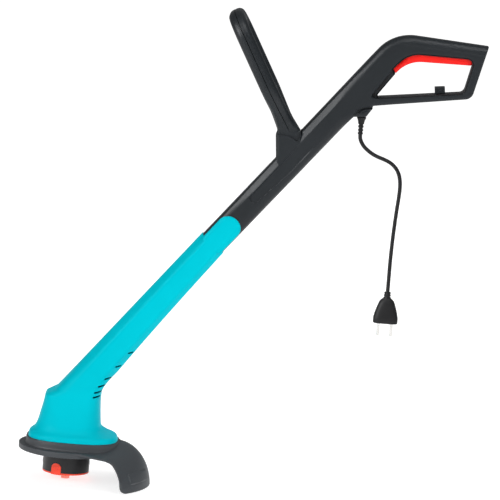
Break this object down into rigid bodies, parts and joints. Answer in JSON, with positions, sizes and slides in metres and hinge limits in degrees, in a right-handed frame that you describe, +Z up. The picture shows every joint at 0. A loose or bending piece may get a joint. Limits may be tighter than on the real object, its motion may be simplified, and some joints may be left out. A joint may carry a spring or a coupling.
{
  "type": "string trimmer",
  "caption": "Corded electric string trimmer: black tubular housing with a rear trigger loop and a front loop handle, turquoise motor housing, round guard with a rear skirt, tap-feed head.",
  "frame": {"origin": "centre of the rear grip bar, in the plane where the two housing halves meet", "axes": "+Z up along the cutting head's spin axis in the working pose, +X to the rear towards the user's hand, +Y to the user's right"},
  "size_m": [0.6337, 0.1814, 0.7073],
  "materials": {
    "black_plastic": "fine moulded texture, satin",
    "turquoise_plastic": "smooth satin gloss",
    "guard_plastic": "moulded, matt",
    "head_plastic": "moulded, satin",
    "red_plastic": "smooth satin gloss",
    "orange_red_plastic": "smooth satin gloss",
    "pale_red_plastic": "slightly translucent, smooth",
    "rubber": "soft moulded rubber, matt",
    "screw_steel": "zinc plated",
    "steel": "ground steel",
    "magnet": "sintered, matt",
    "copper": "enamelled copper wire",
    "carbon": "pressed carbon, matt",
    "white_plastic": "moulded",
    "yellow_plastic": "potted film capacitor",
    "blue_insulation": "soft PVC insulation",
    "nylon_line": "extruded nylon line",
    "pin_metal": "nickel plated"
  },
  "bodies": {
    "housing": {"housing_left": "black_plastic", "housing_right": "black_plastic", "front_handle_front": "black_plastic", "front_handle_rear": "black_plastic", "cord_hook": "black_plastic", "cord_clamp": "black_plastic", "motor_housing_left": "turquoise_plastic", "motor_housing_right": "turquoise_plastic", "guard": "guard_plastic", "motor_end_bell": "head_plastic", "switch_body": "head_plastic", "cord_boot": "rubber", "cord": "rubber", "plug_body": "rubber", "housing_screws": "screw_steel", "motor_housing_screws": "screw_steel", "guard_screws": "screw_steel", "front_handle_screws": "screw_steel", "front_handle_bolt": "screw_steel", "front_handle_nut": "screw_steel", "cord_clamp_screws": "screw_steel", "motor_can": "steel", "motor_bracket": "steel", "lower_bearing": "steel", "upper_bearing": "steel", "line_cutter": "steel", "trigger_pin": "steel", "trigger_spring": "steel", "motor_magnets": "magnet", "carbon_brushes": "carbon", "capacitor": "yellow_plastic", "motor_leads": "blue_insulation", "plug_pins": "pin_metal"},
    "cutting_head": {"motor_shaft": "steel", "armature": "copper", "commutator": "copper", "fan": "head_plastic", "spool_housing": "head_plastic", "line_eyelets": "steel", "spool_cover": "orange_red_plastic", "knob_spring": "steel"},
    "tab_left": {"release_tab_left": "orange_red_plastic"},
    "tab_right": {"release_tab_right": "orange_red_plastic"},
    "knob": {"tap_knob": "pale_red_plastic"},
    "line_spool": {"spool": "head_plastic", "line_winding": "nylon_line"},
    "trigger_lever": {"trigger": "red_plastic"},
    "plunger": {"switch_plunger": "white_plastic"}
  },
  "joints": [
    {"name": "head_spin", "type": "hinge", "parent": "housing", "child": "cutting_head", "pos_m": [-0.5, 0, -0.62], "axis": [0, 0, 1], "continuous": true},
    {"name": "knob_press", "type": "slide", "parent": "cutting_head", "child": "knob", "axis": [0, 0, 1], "range_m": [0, 0.004], "stiffness_N_per_m": 1500, "springref_m": -0.002, "deforming": ["knob_spring"]},
    {"name": "spool_turn", "type": "hinge", "parent": "knob", "child": "line_spool", "pos_m": [-0.5, 0, -0.648], "axis": [0, 0, 1], "continuous": true},
    {"name": "tab_left_press", "type": "slide", "parent": "cutting_head", "child": "tab_left", "axis": [0.3584, 0.9336, 0], "range_m": [0, 0.0015], "stiffness_N_per_m": 3000, "springref_m": -0.0005},
    {"name": "tab_right_press", "type": "slide", "parent": "cutting_head", "child": "tab_right", "axis": [-0.3584, -0.9336, 0], "range_m": [0, 0.0015], "stiffness_N_per_m": 3000, "springref_m": -0.0005},
    {"name": "trigger_pull", "type": "hinge", "parent": "housing", "child": "trigger_lever", "pos_m": [0.0365, 0, -0.007], "axis": [0, 1, 0], "range_deg": [0, 4.5], "stiffness_Nm_per_rad": 4, "springref_deg": -2.86, "deforming": ["trigger_spring"]},
    {"name": "switch_press", "type": "slide", "parent": "housing", "child": "plunger", "axis": [0, 0, 1], "range_m": [0, 0.0024]}
  ],
  "couplings": [
    {"joint": "switch_press", "follows": "trigger_pull", "m_per_rad": 0.0285}
  ]
}
